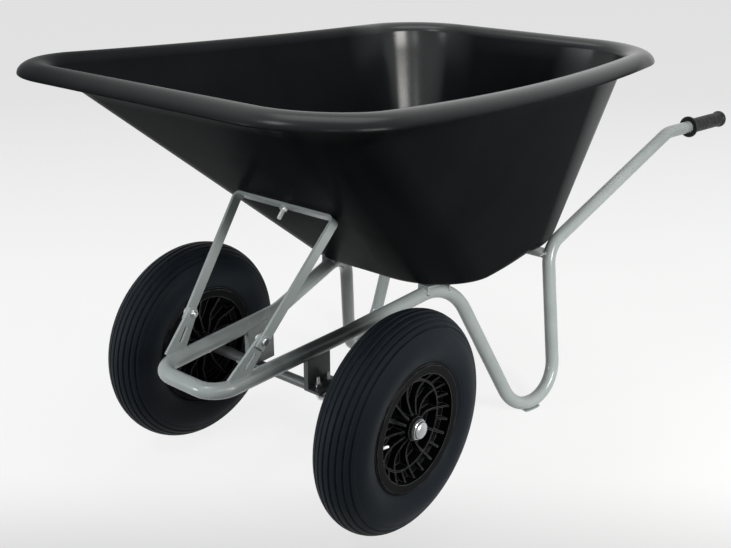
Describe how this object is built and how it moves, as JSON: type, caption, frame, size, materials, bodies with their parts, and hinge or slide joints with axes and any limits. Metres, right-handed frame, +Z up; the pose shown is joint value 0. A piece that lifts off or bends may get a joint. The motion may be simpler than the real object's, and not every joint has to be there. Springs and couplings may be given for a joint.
{
  "type": "two wheel wheelbarrow",
  "caption": "Wheelbarrow with a deep moulded tray on a bent tube frame, twin pneumatic wheels on a fixed axle, looped legs and two gripped handles.",
  "frame": {"origin": "on the ground under the middle of the overall length and width", "axes": "+X towards the nose, +Y to the left of someone pushing it, +Z up"},
  "size_m": [1.5464, 0.7886, 0.7875],
  "materials": {
    "tray_plastic": "satin moulded",
    "grip_plastic": "matte moulded",
    "rim_plastic": "matte moulded",
    "bush_nylon": "black nylon",
    "tyre_rubber": "matte",
    "tube_rubber": "matte",
    "frame_paint": "silver grey satin",
    "axle_steel": "dull",
    "zinc_steel": "zinc plated",
    "cap_chrome": "polished"
  },
  "bodies": {
    "barrow": {"tray": "tray_plastic", "nose_bow": "frame_paint", "left_side_tube": "frame_paint", "right_side_tube": "frame_paint", "rear_crossbar": "frame_paint", "left_tray_support": "frame_paint", "right_tray_support": "frame_paint", "left_foot_plate": "frame_paint", "right_foot_plate": "frame_paint", "left_grip": "grip_plastic", "right_grip": "grip_plastic", "front_stay": "frame_paint", "left_stay_bracket": "frame_paint", "right_stay_bracket": "frame_paint", "stay_bolts": "zinc_steel", "stay_nuts": "zinc_steel", "stay_tray_bolt": "zinc_steel", "stay_tray_nut": "zinc_steel", "tray_bolts": "zinc_steel", "tray_washers": "zinc_steel", "tray_nuts": "zinc_steel", "axle": "axle_steel", "left_axle_hanger": "frame_paint", "right_axle_hanger": "frame_paint", "axle_clamp_bows": "zinc_steel", "clamp_nuts": "zinc_steel", "axle_pins": "zinc_steel", "left_outer_washer": "zinc_steel", "left_inner_washer": "zinc_steel", "left_hub_cap": "cap_chrome", "right_outer_washer": "zinc_steel", "right_inner_washer": "zinc_steel", "right_hub_cap": "cap_chrome"},
    "left_wheel": {"left_tyre": "tyre_rubber", "left_inner_tube": "tube_rubber", "left_rim": "rim_plastic", "left_valve": "zinc_steel", "left_outer_bush": "bush_nylon", "left_inner_bush": "bush_nylon"},
    "right_wheel": {"right_tyre": "tyre_rubber", "right_inner_tube": "tube_rubber", "right_rim": "rim_plastic", "right_valve": "zinc_steel", "right_outer_bush": "bush_nylon", "right_inner_bush": "bush_nylon"}
  },
  "joints": [
    {"name": "left_wheel_spin", "type": "hinge", "parent": "barrow", "child": "left_wheel", "pos_m": [0.45831, 0.258, 0.2], "axis": [0, 1, 0], "continuous": true},
    {"name": "right_wheel_spin", "type": "hinge", "parent": "barrow", "child": "right_wheel", "pos_m": [0.45831, -0.258, 0.2], "axis": [0, 1, 0], "continuous": true}
  ]
}
